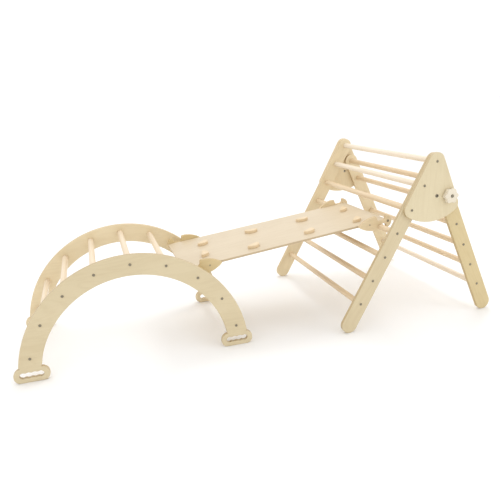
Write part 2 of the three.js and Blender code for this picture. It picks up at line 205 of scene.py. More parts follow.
def arch_outline():
    """A half ring on two foot pads, the corners between them filled by curves."""
    h = PAD["height"]
    reach = PAD["x"] + PAD["width"] / 2 - PAD["top"]
    near = PAD["x"] - PAD["width"] / 2 + PAD["top"]
    out_x, in_x = (math.sqrt(r**2 - (h - ARCH_CENTRE) ** 2) for r in (ARCH_OUTER, ARCH_INNER))
    out_a, in_a = (math.asin((PAD_FILLET - ARCH_CENTRE) / r) for r in (ARCH_OUTER, ARCH_INNER))
    outer = arc(0, ARCH_CENTRE, ARCH_OUTER, out_a, math.pi - out_a, 110)
    inner = arc(0, ARCH_CENTRE, ARCH_INNER, math.pi - in_a, in_a, 100)
    return cleaned(
        outer
        + curve(outer[-1], (-out_x, h), (-reach, h))
        + pad_outline(-PAD["x"])
        + curve((-near, h), (-in_x, h), inner[0])
        + inner
        + curve(inner[-1], (in_x, h), (near, h))
        + pad_outline(PAD["x"])
        + curve((reach, h), (out_x, h), outer[0])
    )


def slot_outline(x):
    """The hand slot in a pad, with a shallow wave for every finger."""
    length, half, fingers = SLOT["length"], SLOT["half"], SLOT["fingers"]
    straight = length / 2 - half
    count = 10 * fingers
    us = [-straight + 2 * straight * i / count for i in range(count + 1)]
    top = [Vector((u, half - SLOT["wave"] * math.cos(FULL * u * fingers / length))) for u in us]
    cap = arc(straight, 0, half, math.pi / 2, -math.pi / 2, 12)[1:-1]
    loop = top + cap
    loop += [-p for p in loop]
    return [p + Vector((x, SLOT["z"])) for p in loop]


def plate_outline(apex, front, rear):
    """The gusset plate round three of its bolts, with a bellied lower edge."""
    chord = rear - front
    rise = math.sqrt((PLATE["belly"] - PLATE["corner"]) ** 2 - (chord.length / 2) ** 2)
    belly = front + chord / 2 + Vector((-chord.y, chord.x)).normalized() * rise

    def heading(a, b):
        return math.atan2(b.y - a.y, b.x - a.x)

    def side(corner, sign):
        tilt = math.acos((PLATE["apex"] - PLATE["corner"]) / (corner - apex).length)
        return heading(apex, corner) + sign * tilt

    front_side, rear_side = side(front, -1), side(rear, 1)
    to_front, to_rear = heading(belly, front), heading(belly, rear)
    return cleaned(
        arc(apex.x, apex.y, PLATE["apex"], rear_side, front_side + FULL, 36)
        + arc(front.x, front.y, PLATE["corner"], front_side + FULL, to_front + FULL, 22)
        + arc(belly.x, belly.y, PLATE["belly"], to_front, to_rear, 24)
        + arc(rear.x, rear.y, PLATE["corner"], to_rear, rear_side, 26)
    )


def hook_outline():
    """A hook plate: its leaf towards -u, its round lobe towards +u, a notch above and one below."""
    half, tip, lobe, corner = (HOOK[k] for k in ("half", "tip", "lobe", "corner"))
    shoulder, notch_r = HOOK["shoulder"], HOOK["notch_r"]
    wall = HOOK["notch_w"] / 2
    notch_v = HOOK["floor"] + notch_r
    top, tip_u = -wall - shoulder, tip - HOOK["leaf"]
    leaf_r = ((top - tip_u) ** 2 + half**2 - tip**2) / (2 * (half - tip))
    fall = math.atan2(leaf_r - half, tip_u - top)
    lobe_turn = math.acos(corner / lobe)
    lobe_top = lobe * math.sin(lobe_turn)
    upper = (
        arc(tip_u, 0, tip, math.pi, fall, 4)
        + arc(top, half - leaf_r, leaf_r, fall, math.pi / 2, 18)
        + curve((top, half), (-wall, half), (-wall, half - shoulder), 8)
        + arc(notch_r - wall, notch_v, notch_r, math.pi, 1.5 * math.pi, 10)
        + arc(wall - notch_r, notch_v, notch_r, 1.5 * math.pi, FULL, 10)
        + curve((wall, lobe_top - corner), (wall, lobe_top), (wall + corner, lobe_top))
        + arc(wall, 0, lobe, lobe_turn, 0, 14)
    )
    lower = [Vector((p.x, -p.y)) for p in reversed(upper)]
    return cleaned(upper + lower)[::-1]


def hold_outline():
    """A half-moon, its rounded side towards +u."""
    depth, corner = HOLD["depth"], HOLD["corner"]
    reach = HOLD["width"] / 2 - corner
    back = (reach**2 + depth**2 - 2 * depth * corner) / (2 * (depth - 2 * corner))
    turn = math.atan2(reach, back - depth + corner)
    loop = (
        arc(corner, -reach, corner, math.pi, FULL - turn, 9)
        + arc(depth - back, 0, back, -turn, turn, 24)
        + arc(corner, reach, corner, turn, math.pi, 9)
    )
    return [p - Vector((depth / 2, 0)) for p in cleaned(loop)]


def star_outline():
    """The knob's rim, a circle with a shallow scallop between every two lobes."""
    count = 24 * KNOB["lobes"]
    loop = []
    for i in range(count):
        turn = FULL * i / count
        r = KNOB["r"] - KNOB["scallop"] * (1 - math.cos(KNOB["lobes"] * turn)) / 2
        loop.append(Vector((r * math.cos(turn), r * math.sin(turn))))
    return loop


def board_outline(length, half):
    """The board from u = 0 to its length, its corners just rounded off."""
    corner = BOARD_CORNER
    return (
        arc(corner, half - corner, corner, math.pi / 2, math.pi, 5)
        + arc(corner, corner - half, corner, math.pi, 1.5 * math.pi, 5)
        + arc(length - corner, corner - half, corner, 1.5 * math.pi, FULL, 5)
        + arc(length - corner, half - corner, corner, 0, math.pi / 2, 5)
    )


# ------------------------------------------------------------------ meshes

grain_seed = random.Random(7)
GRAIN_SHIFT = 9                # metres that a piece's grain may be shifted by, so that no two match


def moved_in(loop, distance):
    """The loop shifted to its left, into the wood, and mitred at its corners."""
    out = []
    for i, p in enumerate(loop):
        before = (p - loop[i - 1]).normalized()
        after = (loop[(i + 1) % len(loop)] - p).normalized()
        left_a, left_b = Vector((-before.y, before.x)), Vector((-after.y, after.x))
        mitre = left_a + left_b
        # at a sharp corner the mitre is kept short
        mitre /= max(mitre.length_squared / 2, 0.6)
        out.append(p + mitre * distance)
    return out


def finished(bm, name, matrix, grain_turn=0.0, grain=True):
    """Turns a bmesh into a smooth object, the wood's own coordinates kept on its points."""
    bmesh.ops.recalc_face_normals(bm, faces=bm.faces)
    mesh = bpy.data.meshes.new(name)
    bm.to_mesh(mesh)
    bm.free()
    mesh.polygons.foreach_set("use_smooth", [True] * len(mesh.polygons))
    if grain:
        shift_u = grain_seed.uniform(-GRAIN_SHIFT, GRAIN_SHIFT)
        shift_v = grain_seed.uniform(-GRAIN_SHIFT, GRAIN_SHIFT)
        shift = Vector((shift_u, shift_v, 0))
        turn = Matrix.Rotation(grain_turn, 3, "Z")
        attribute = mesh.attributes.new("grain", "FLOAT_VECTOR", "POINT")
        for value, vertex in zip(attribute.data, mesh.vertices):
            value.vector = turn @ vertex.co + shift
    mesh.transform(matrix)
    obj = bpy.data.objects.new(name, mesh)
    bpy.context.scene.collection.objects.link(obj)
    return obj


def sheet_mesh(name, outline, t, edge, matrix, holes=(), grain_turn=0.0, low_edge=None, steps=4):
    """A plate from w = 0 to w = t, its faces flat right up to its rims. The rims are rounded over
    in a number of steps, by edge round the face at w = t and by low_edge round the other one."""
    low_edge = edge if low_edge is None else low_edge
    if signed_area(outline) < 0:
        outline = outline[::-1]
    loops = [outline] + [h if signed_area(h) < 0 else h[::-1] for h in holes]
    turns = [math.pi / 2 * i / steps for i in range(steps + 1)]
    rings = [(low_edge * (1 - math.sin(a)), low_edge * (1 - math.cos(a))) for a in turns]
    rings += [(edge * (1 - math.sin(a)), t - edge * (1 - math.cos(a))) for a in reversed(turns)]
    bm = bmesh.new()
    grid = [
        [[bm.verts.new((p.x, p.y, w)) for p in moved_in(loop, inset)] for loop in loops]
        for inset, w in rings
    ]
    for low, high in zip(grid, grid[1:]):
        for a, b in zip(low, high):
            for i in range(len(a)):
                bm.faces.new((a[i - 1], a[i], b[i], b[i - 1]))
    for ring, up in ((grid[0], -1), (grid[-1], 1)):
        verts = [v for loop in ring for v in loop]
        for tri in tessellate_polygon([[v.co for v in loop] for loop in ring]):
            corners = [verts[i] for i in tri]
            face = bm.faces.new(corners if up > 0 else corners[::-1])
            face.normal_update()
            if face.normal.z * up < 0:
                face.normal_flip()
            for e in face.edges:
                e.smooth = True
        for loop in ring:
            for i in range(len(loop)):
                bm.edges.get((loop[i - 1], loop[i])).smooth = False
    return finished(bm, name, matrix, grain_turn)


def lathe(name, profile, sides, matrix, socket=(), grain=False, tube=False):
    """A piece turned about u, from (u, radius) pairs, closed at its two ends. A socket's
    (u, width over flats) pairs sink a hexagon into the last end. A tube's profile is a loop."""
    turns = [FULL * i / sides for i in range(sides)]

    def flat_radius(across, turn):
        return across / 2 / math.cos((turn + math.pi / 6) % (math.pi / 3) - math.pi / 6)

    radii = [(u, [r] * sides) for u, r in profile]
    radii += [(u, [flat_radius(across, turn) for turn in turns]) for u, across in socket]
    bm = bmesh.new()
    rings = [
        [bm.verts.new((u, r * math.cos(a), r * math.sin(a))) for r, a in zip(ring, turns)]
        for u, ring in radii
    ]
    following = rings[1:] + rings[:1] if tube else rings[1:]
    for a, b in zip(rings, following):
        for i in range(sides):
            bm.faces.new((a[i - 1], a[i], b[i], b[i - 1]))
    if not tube:
        bm.faces.new(rings[0][::-1])
        bm.faces.new(rings[-1])
    for e in bm.edges:
        if len(e.link_faces) == 2 and e.calc_face_angle(0) > CREASE:
            e.smooth = False
    return finished(bm, name, matrix, grain=grain)


def in_metres(pairs, scale=1.0):
    """A section that was given in millimetres."""
    return [(a * MM * scale, b * MM * scale) for a, b in pairs]


def placed(u, v, w, at):
    """The matrix that takes a piece's u, v and w to three directions, and its origin to a place."""
    m = Matrix((u, v, w)).transposed().to_4x4()
    m.translation = at
    return m


X, Y, Z = Vector((1, 0, 0)), Vector((0, 1, 0)), Vector((0, 0, 1))


def upright(x, y_high, z=0.0):
    """For a sheet that stands across Y: u is X, v is Z, and w runs from its +Y face inwards."""
    return placed(X, Z, -Y, (x, y_high, z))


# ------------------------------------------------------------------ materials


class Nodes:
    """Short calls for building a node material."""

    def __init__(self, name):
        self.material = bpy.data.materials.new(name)
        self.material.use_nodes = True
        self.tree = self.material.node_tree
        self.bsdf = self.tree.nodes["Principled BSDF"]

    def link(self, value, socket):
        if isinstance(value, bpy.types.NodeSocket):
            self.tree.links.new(value, socket)
        else:
            socket.default_value = value

    def add(self, kind, **settings):
        node = self.tree.nodes.new(kind)
        for key, value in settings.items():
            setattr(node, key, value)
        return node

    def math(self, operation, a, b=0.0):
        node = self.add("ShaderNodeMath", operation=operation)
        self.link(a, node.inputs[0])
        self.link(b, node.inputs[1])
        return node.outputs[0]

    def scaled(self, vector, scale):
        node = self.add("ShaderNodeVectorMath", operation="MULTIPLY")
        self.link(vector, node.inputs[0])
        node.inputs[1].default_value = scale
        return node.outputs[0]

    def noise(self, vector, scale=1.0, detail=2.0, roughness=0.5, distortion=0.0):
        node = self.add("ShaderNodeTexNoise")
        self.link(vector, node.inputs["Vector"])
        node.inputs["Scale"].default_value = scale
        node.inputs["Detail"].default_value = detail
        node.inputs["Roughness"].default_value = roughness
        node.inputs["Distortion"].default_value = distortion
        return node.outputs["Fac"]

    def ramp(self, value, low, high, out_low=0.0, out_high=1.0):
        node = self.add("ShaderNodeMapRange", interpolation_type="SMOOTHSTEP", clamp=True)
        self.link(value, node.inputs["Value"])
        node.inputs["From Min"].default_value = low
        node.inputs["From Max"].default_value = high
        node.inputs["To Min"].default_value = out_low
        node.inputs["To Max"].default_value = out_high
        return node.outputs["Result"]

    def mix(self, amount, a, b):
        node = self.add("ShaderNodeMix", data_type="RGBA", clamp_factor=True)
        self.link(amount, node.inputs[0])
        self.link(a if isinstance(a, bpy.types.NodeSocket) else (*a, 1), node.inputs[6])
        self.link(b if isinstance(b, bpy.types.NodeSocket) else (*b, 1), node.inputs[7])
        return node.outputs[2]

    def bump(self, height, distance, strength):
        node = self.add("ShaderNodeBump")
        self.link(height, node.inputs["Height"])
        node.inputs["Distance"].default_value = distance
        node.inputs["Strength"].default_value = strength
        return node.outputs["Normal"]

    def shade(self, **values):
        for key, value in values.items():
            self.link(value, self.bsdf.inputs[key.replace("_", " ")])


def grain_coordinates(n):
    """The wood's own coordinates, and its depth w on its own."""
    attribute = n.add("ShaderNodeAttribute", attribute_name="grain", attribute_type="GEOMETRY")
    at = attribute.outputs["Vector"]
    split = n.add("ShaderNodeSeparateXYZ")
    n.link(at, split.inputs[0])
    return at, split.outputs["Z"]


def toned(colour, factor):
    """The colour scaled by one factor, or by one each for red, green and blue."""
    factors = factor if isinstance(factor, tuple) else (factor,) * 3
    return tuple(c * k for c, k in zip(colour, factors))


# how often each texture of the wood repeats along u, v and w, per metre
VENEER_GRAIN = {
    "figure": (1.5, 9.0, 1.0),
    "patches": (3.5, 8.0, 1.0),
    "fibres": (14.0, 620.0, 60.0),
    "flecks": (95.0, 640.0, 60.0),
    "end": (900.0, 900.0, 500.0),
}
SOLID_GRAIN = {
    "bend": (1.6, 12.0, 12.0),
    "patches": (2.4, 30.0, 30.0),
    "fibres": (9.0, 520.0, 520.0),
    "flecks": (170.0, 800.0, 800.0),
}
# how far each texture takes the light tone to the dark one, or a fleck to a darker one still
VENEER_TONES = {"figure": 0.20, "patches": 0.34, "fibres": 0.30, "flecks": 0.30}
SOLID_TONES = {"late": 0.42, "patches": 0.30, "fibres": 0.36, "flecks": 0.35}
FIGURE_LINES = 11.0                  # contour lines in the veneer's figure
PLY_LIGHT = (0.93, 0.88, 0.80)       # the plies' tones on an edge, against the face's light tone
PLY_DARK = (0.76, 0.66, 0.52)
ACROSS_RINGS = (0.0, 0.83, 0.56)     # the direction from the pith, across the growth rings
RING_BEND = 12 * MM                  # how far the growth rings wander
LATEWOOD = 2.6                       # the higher, the narrower the dark part of each ring
GRAIN_RELIEF = 0.12 * MM             # the depth of the fibres
SCRATCHES = (300.0, 5200.0, 900.0)   # per metre along X, Y and Z
SCRATCH_DEPTH = 0.03 * MM


def veneer(n, at, light, dark):
    """Rotary-cut birch: broad wandering figure, fine fibres along u and short dark flecks."""
    grain, tones = VENEER_GRAIN, VENEER_TONES
    wander = n.noise(n.scaled(at, grain["figure"]), detail=3.0, roughness=0.55, distortion=0.5)
    contour = n.math("PINGPONG", n.math("MULTIPLY", wander, FIGURE_LINES), 0.5)
    figure = n.ramp(contour, 0.02, 0.34, 1.0, 0.0)
    patches = n.noise(n.scaled(at, grain["patches"]))
    fibres = n.noise(n.scaled(at, grain["fibres"]), detail=3.0, roughness=0.6)
    fleck_noise = n.noise(n.scaled(at, grain["flecks"]), detail=1.0)
    flecks = n.ramp(fleck_noise, 0.69, 0.76)
    tone = n.math("MULTIPLY", figure, tones["figure"])
    tone = n.math("ADD", tone, n.ramp(patches, 0.3, 0.75, 0.0, tones["patches"]))
    tone = n.math("ADD", tone, n.ramp(fibres, 0.3, 0.8, 0.0, tones["fibres"]))
    colour = n.mix(tone, light, dark)
    colour = n.mix(n.math("MULTIPLY", flecks, tones["flecks"]), colour, toned(dark, 0.78))
    return colour, fibres, flecks


def plywood(name, light, dark, t):
    """Birch plywood: veneer on the faces, light and dark plies and thin glue lines on the edges."""
    n = Nodes(name)
    at, w = grain_coordinates(n)
    face, fibres, flecks = veneer(n, at, light, dark)
    plies = round(t / PLY / 2 - 0.5) * 2 + 1          # always an odd number
    # the depth in plies, just short of the whole number at the far face
    depth = n.math("MULTIPLY", w, plies / t * 0.9999)
    layer = n.math("FLOOR", n.math("MAXIMUM", depth, 0.0))
    across = n.math("MODULO", layer, 2.0)
    glue_gap = n.math("PINGPONG", depth, 0.5)
    glue = n.ramp(glue_gap, 0.03, 0.10, 1.0, 0.0)
    end_grain = n.noise(n.scaled(at, VENEER_GRAIN["end"]))
    deep = toned(light, PLY_DARK)
    ply = n.mix(across, toned(light, PLY_LIGHT), deep)
    ply = n.mix(n.ramp(end_grain, 0.35, 0.75, 0.0, 0.30), ply, toned(deep, 0.62))
    ply = n.mix(n.math("MULTIPLY", glue, 0.5), ply, toned(deep, 0.5))
    over_first = n.math("GREATER_THAN", depth, 1.0)
    under_last = n.math("LESS_THAN", depth, plies - 1.0)
    inside = n.math("MULTIPLY", over_first, under_last)
    colour = n.mix(inside, face, ply)
    height = n.math("SUBTRACT", n.math("MULTIPLY", fibres, 0.5), flecks)
    height = n.math("SUBTRACT", height, n.math("MULTIPLY", n.math("MULTIPLY", glue, inside), 1.2))
    n.shade(
        Base_Color=colour,
        Roughness=n.ramp(fibres, 0.2, 0.8, 0.40, 0.56),
        Normal=n.bump(height, GRAIN_RELIEF, 0.55),
        IOR=1.45,
        Coat_Weight=0.18,
        Coat_Roughness=0.28,
    )
    return n.material


def turned_wood(name, light, dark, ring_pitch, contrast=1.0):
    """Solid wood along u: growth rings round a distant pith, long fibres and small ray flecks."""
    n = Nodes(name)
    at, _ = grain_coordinates(n)
    grain, tones = SOLID_GRAIN, {key: tone * contrast for key, tone in SOLID_TONES.items()}
    bend = n.noise(n.scaled(at, grain["bend"]))
    sideways = n.add("ShaderNodeCombineXYZ")
    n.link(n.math("MULTIPLY", bend, RING_BEND), sideways.inputs["Y"])
    warped = n.add("ShaderNodeVectorMath", operation="ADD")
    n.link(at, warped.inputs[0])
    n.link(sideways.outputs[0], warped.inputs[1])
    from_pith = n.add("ShaderNodeVectorMath", operation="DOT_PRODUCT")
    n.link(warped.outputs[0], from_pith.inputs[0])
    from_pith.inputs[1].default_value = ACROSS_RINGS
    rings = n.math("FRACT", n.math("DIVIDE", from_pith.outputs["Value"], ring_pitch))
    late = n.math("POWER", rings, LATEWOOD)
    fibres = n.noise(n.scaled(at, grain["fibres"]), detail=3.0, roughness=0.6)
    fleck_noise = n.noise(n.scaled(at, grain["flecks"]), detail=1.0)
    flecks = n.ramp(fleck_noise, 0.66, 0.74)
    patches = n.noise(n.scaled(at, grain["patches"]))
    tone = n.math("MULTIPLY", late, tones["late"])
    tone = n.math("ADD", tone, n.ramp(fibres, 0.3, 0.8, 0.0, tones["fibres"]))
    tone = n.math("ADD", tone, n.ramp(patches, 0.3, 0.8, 0.0, tones["patches"]))
    colour = n.mix(tone, light, dark)
    colour = n.mix(n.math("MULTIPLY", flecks, SOLID_TONES["flecks"]), colour, toned(dark, 0.68))
    height = n.math("SUBTRACT", n.math("MULTIPLY", fibres, 0.6), flecks)
    n.shade(
        Base_Color=colour,
        Roughness=n.ramp(fibres, 0.2, 0.8, 0.38, 0.54),
        Normal=n.bump(height, GRAIN_RELIEF, 0.5),
        IOR=1.45,
        Coat_Weight=0.2,
        Coat_Roughness=0.25,
    )
    return n.material


def zinc_steel(name, base, roughness):
    """Dark zinc plate: a blotchy tone and fine scratches."""
    n = Nodes(name)
    at = n.add("ShaderNodeTexCoord").outputs["Object"]
    blotch = n.noise(at, scale=420.0, detail=3.0, roughness=0.6)
    scratches = n.noise(n.scaled(at, SCRATCHES))
    colour = n.mix(n.ramp(blotch, 0.3, 0.7), base, toned(base, 1.35))
    n.shade(
        Base_Color=colour,
        Metallic=1.0,
        Roughness=n.ramp(blotch, 0.3, 0.7, roughness - 0.07, roughness + 0.08),
        Normal=n.bump(scratches, SCRATCH_DEPTH, 0.6),
    )
    return n.material


def floor_paint(name):
    """Matt white paint with hardly any variation."""
    n = Nodes(name)
    at = n.add("ShaderNodeTexCoord").outputs["Object"]
    tone = n.noise(at, scale=3.0, detail=3.0)
    n.shade(Base_Color=n.mix(tone, (0.93, 0.93, 0.93), (0.95, 0.95, 0.95)), Roughness=0.7)
    return n.material


# The sheets of birch differ a little, each a light and a dark tone. The set's left side, its far
# one, is the palest: painted light, a lighter copy of the same plywood that lifts the shade falling
# on the far side. Its right rear leg and lower hooks are the yellowest.
panel_ply = {
    "right": plywood("birch_plywood_18", (0.672, 0.569, 0.373), (0.578, 0.47, 0.285), PANEL_T),
    # painted light: the left panels and legs are a paler copy that lifts the shade on the set's far
    # side
    "left": plywood("birch_plywood_18_painted_light", (0.78, 0.655, 0.435), (0.67, 0.545, 0.335), PANEL_T),
}
rear_ply = {
    "right": plywood(
        "birch_plywood_18_yellow", (0.66, 0.535, 0.295), (0.565, 0.44, 0.225), PANEL_T
    ),
    "left": panel_ply["left"],
}
plate_ply = {
    "right": plywood("birch_plywood_16", (0.709, 0.612, 0.409), (0.618, 0.516, 0.325), PLATE_T),
    # painted light: the left gusset plate is a paler copy that lifts the shade on the set's far
    # side
    "left": plywood("birch_plywood_16_painted_light", (0.80, 0.675, 0.445), (0.69, 0.56, 0.35), PLATE_T),
}
hook_ply = {
    "lower": plywood("birch_plywood_15_yellow", (0.68, 0.54, 0.29), (0.58, 0.445, 0.22), HOOK_T),
    "upper": plywood("birch_plywood_15", (0.78, 0.64, 0.42), (0.66, 0.525, 0.32), HOOK_T),
}
board_ply = plywood("birch_plywood_10", (0.671, 0.561, 0.403), (0.588, 0.476, 0.321), BOARD_T)
BEECH_RINGS = 5.5 * MM         # the pitch of the growth rings
beech = turned_wood("beech_dowel", (0.83, 0.70, 0.525), (0.72, 0.56, 0.37), BEECH_RINGS)
pale_beech = turned_wood("beech_dowel_pale", (0.87, 0.77, 0.63), (0.76, 0.63, 0.47), BEECH_RINGS)
tan_beech = turned_wood("beech_dowel_tan", (0.78, 0.63, 0.43), (0.67, 0.495, 0.30), BEECH_RINGS)
PALE_RUNGS = ("front_rung_1", "front_rung_2", "rear_rung_6")
hold_wood = turned_wood("hold_wood", (0.79, 0.63, 0.415), (0.67, 0.515, 0.315), 6.5 * MM)
knob_wood = turned_wood("knob_wood", (0.80, 0.73, 0.60), (0.70, 0.61, 0.46), 5.0 * MM, 0.8)
steel = zinc_steel("zinc_steel", (0.235, 0.21, 0.16), 0.34)


def hand_over(obj, material, body, slot, *nodes):
    """Gives a piece its material and body, and hides the CAD nodes that it stands for. Its slot is
    not used.
    """
    obj.data.materials.append(material)
    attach(obj, body)
    if nodes:
        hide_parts(*nodes)
    return obj


# ------------------------------------------------------------------ rungs and bolts


def rung_wood(node):
    """The arch's rungs are alike, and those of the triangle are pale or tan."""
    if node.startswith("arch"):
        return beech
    return pale_beech if node in PALE_RUNGS else tan_beech


def dowel(node, body):
    """A turned rung between its CAD ends, its rims eased."""
    low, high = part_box(node)
    at = middle(node)
    length = high.y - low.y
    part_way = RUNG_EASE * 0.3
    profile = [
        (0, RUNG_R - RUNG_EASE),
        (part_way, RUNG_R - part_way),
        (RUNG_EASE, RUNG_R),
        (length - RUNG_EASE, RUNG_R),
        (length - part_way, RUNG_R - part_way),
        (length, RUNG_R - RUNG_EASE),
    ]
    spin = grain_seed.uniform(0, FULL)
    matrix = placed(Y, Z, X, (at.x, low.y, at.z)) @ Matrix.Rotation(spin, 4, "X")
    obj = lathe(f"{node}_dowel", profile, 40, matrix, grain=True)
    return hand_over(obj, rung_wood(node), body, "beech_rungs", node)


def outward(at, sign):
    """For a turned piece: u points straight out of the set's left or right side."""
    return placed(Y * sign, Z, X * sign, at)


def button_bolt(name, at, sign, body, *nodes):
    """A button head with a hexagon socket, seated on the wood."""
    head = in_metres(BUTTON_HEAD, BUTTON_SCALE)
    socket = in_metres(BUTTON_SOCKET, BUTTON_SCALE)
    obj = lathe(name, head, STEEL_SIDES, outward(at, sign), socket)
    return hand_over(obj, steel, body, "steel", *nodes)


def flat_screw(name, matrix, body, r):
    """A countersunk screw with a head of radius r, nearly flush, and a hexagon socket."""
    head = [
        (-2.2 * MM, 0.5 * r),
        (-0.2 * MM, 0.96 * r),
        (0.15 * MM, r),
        (0.35 * MM, 0.95 * r),
        (0.4 * MM, 0.8 * r),
    ]
    obj = lathe(name, head, STEEL_SIDES, matrix, in_metres(SCREW_SOCKET))
    return hand_over(obj, steel, body, "steel")


# ------------------------------------------------------------------ arch climber


def build_arch():
    """The two panels with their bolts, then the rungs."""
    outline = arch_outline()
    holes = [slot_outline(-PAD["x"]), slot_outline(PAD["x"])]
    for side, sign in SIDES:
        node = f"arch_panel_{side}"
        low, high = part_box(node)
        obj = sheet_mesh(
            f"{node}_plywood", outline, PANEL_T, PANEL_EDGE, upright(arch_at.x, high.y), holes
        )
        hand_over(obj, panel_ply[side], "arch", "birch_panels", node)
        face = high.y if sign > 0 else low.y
        for k in range(1, ARCH_RUNGS + 1):
            at = middle(f"arch_rung_{k}")
            button_bolt(f"arch_bolt_{side}_{k}", (at.x, face, at.z), sign, "arch")
    for k in range(1, ARCH_RUNGS + 1):
        dowel(f"arch_rung_{k}", "arch")


# ------------------------------------------------------------------ climbing triangle


def build_leg(node, a, b, body, material, bolted, sign):
    """A leg with its round ends centred on a and b, and the bolts on its outside."""
    low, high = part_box(node)
    along = (b - a).normalized()
    u = Vector((along.x, 0, along.y))
    matrix = placed(u, (-Y).cross(u), -Y, (a.x, high.y, a.y))
    outline = leg_outline((b - a).length)
    obj = sheet_mesh(f"{node}_plywood", outline, PANEL_T, PANEL_EDGE, matrix)
    hand_over(obj, material, body, "birch_panels", node)
    face = high.y if sign > 0 else low.y
    for k, at in bolted:
        button_bolt(f"{node}_bolt_{k}", (at.x, face, at.z), sign, body)


def foot_centre(node, rungs):
    """The centre of a leg's lower round end, on the line of its rungs."""
    low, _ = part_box(node)
    top, last = flat(rungs[0]), flat(rungs[-1])
    down = (last - top).normalized()
    return top + down * ((low.z + LEG_HALF - top.y) / down.y)


def build_plate(side, sign, park):
    """A gusset plate, its face grain upright, with the heads of the bolts through it."""
    node = f"gusset_plate_{side}"
    low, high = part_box(node)
    apex = flat(front_rungs[0])
    front, rear = flat(front_rungs[PLATE_FRONT_RUNGS - 1]), flat(rear_rungs[PLATE_REAR_RUNGS - 1])
    outline = [p - apex for p in plate_outline(apex, front, rear)]
    lock = flat(middle(f"lock_washer_{side}"))
    holes = [circle(*(park - apex), INSERT_HOLE_R), circle(*(lock - apex), STUD_HOLE_R)]
    obj = sheet_mesh(
        f"{node}_plywood", outline, PLATE_T, PLATE_EDGE, upright(apex.x, high.y, apex.y), holes,
        grain_turn=QUARTER,
    )
    hand_over(obj, plate_ply[side], "front_frame", "birch_panels", node)
    face = high.y if sign > 0 else low.y
    for k, at in enumerate(front_rungs[:PLATE_FRONT_RUNGS], 1):
        bolt = f"plate_bolt_{side}_{k}"
        button_bolt(f"{bolt}_head", (at.x, face, at.z), sign, "front_frame", bolt)


def build_insert(side, sign, park):
    """The second hole's threaded insert, a flanged sleeve with its bore's rims eased."""
    node = f"park_insert_{side}"
    low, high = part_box(node)
    length = high.y - low.y
    inner_end = low.y if sign > 0 else high.y
    bore, sleeve, flange = INSERT["bore"], INSERT["sleeve"], INSERT["flange"]
    under_flange = length - INSERT["flange_t"]
    profile = [
        (0, bore + 0.2 * MM),
        (0, sleeve - 0.2 * MM),
        (0.4 * MM, sleeve),
        (under_flange, sleeve),
        (under_flange, flange - 0.3 * MM),
        (length - 0.4 * MM, flange),
        (length, flange - 0.4 * MM),
        (length, bore + 0.7 * MM),
        (length - 0.6 * MM, bore),
        (0.4 * MM, bore),
    ]
    matrix = outward((park.x, inner_end, park.y), sign)
    obj = lathe(f"{node}_sleeve", profile, 32, matrix, tube=True)
    hand_over(obj, steel, "front_frame", "steel", node)


def build_knob(side, sign):
    """A star knob, its wider rounding on the face that the hand meets, so w points outwards."""
    node = f"star_knob_{side}"
    low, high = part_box(node)
    at = middle(node)
    inner_face, outer_face = (low.y, high.y) if sign > 0 else (high.y, low.y)
    matrix = placed(X, Z * -sign, Y * sign, (at.x, inner_face, at.z))
    bore = [circle(0, 0, KNOB["bore"])]
    obj = sheet_mesh(
        f"{node}_wood", star_outline(), high.y - low.y, KNOB_EDGE, matrix, bore,
        low_edge=KNOB_BACK_EDGE, steps=6,
    )
    hand_over(obj, knob_wood, f"{side}_knob", "knob_wood", node)
    build_stud(side, sign, at, outer_face)
    build_washer(side, at)


def build_stud(side, sign, at, knob_face):
    """The knob's stud: a shank with a chamfered tip, and a button head just off the knob."""
    node = f"knob_stud_{side}"
    low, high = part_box(node)
    head_height = (high.y if sign > 0 else -low.y) - sign * knob_face
    shank = (high.y - low.y) - head_height
    tip = [(-shank, STUD_TIP_R), (-shank + STUD_CHAMFER, STUD_R)]
    profile = tip + in_metres(STUD_HEAD)
    matrix = outward((at.x, knob_face + sign * STUD_PLAY, at.z), sign)
    obj = lathe(f"{node}_steel", profile, STEEL_SIDES, matrix, in_metres(STUD_SOCKET))
    hand_over(obj, steel, f"{side}_knob", "steel", node)


def build_washer(side, at):
    """The washer between a knob and its gusset plate."""
    node = f"lock_washer_{side}"
    low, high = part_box(node)
    obj = sheet_mesh(
        f"{node}_steel", circle(0, 0, WASHER["r"], 48), high.y - low.y, WASHER["edge"],
        upright(at.x, high.y, at.z), [circle(0, 0, STUD_HOLE_R)],
    )
    hand_over(obj, steel, "front_frame", "steel", node)


def build_triangle():
    """Each side's legs, plate, insert and knob, then the rungs."""
    for side, sign in SIDES:
        for end, rungs, ply, covered in (
            ("front", front_rungs, panel_ply, PLATE_FRONT_RUNGS),
            ("rear", rear_rungs, rear_ply, PLATE_REAR_RUNGS),
        ):
            leg = f"{end}_leg_{side}"
            foot = foot_centre(leg, rungs)
            bolted = list(enumerate(rungs, 1))[covered:]
            build_leg(leg, flat(rungs[0]), foot, f"{end}_frame", ply[side], bolted, sign)
        park = flat(middle(f"park_insert_{side}"))
        build_plate(side, sign, park)
        build_insert(side, sign, park)
        build_knob(side, sign)
    for k in range(1, FRONT_RUNGS + 1):
        dowel(f"front_rung_{k}", "front_frame")
    for k in range(1, REAR_RUNGS + 1):
        dowel(f"rear_rung_{k}", "rear_frame")


# ------------------------------------------------------------------ slide board

up_board = Vector((math.cos(board_slope), 0, math.sin(board_slope)))
board_normal = Vector((-math.sin(board_slope), 0, math.cos(board_slope)))


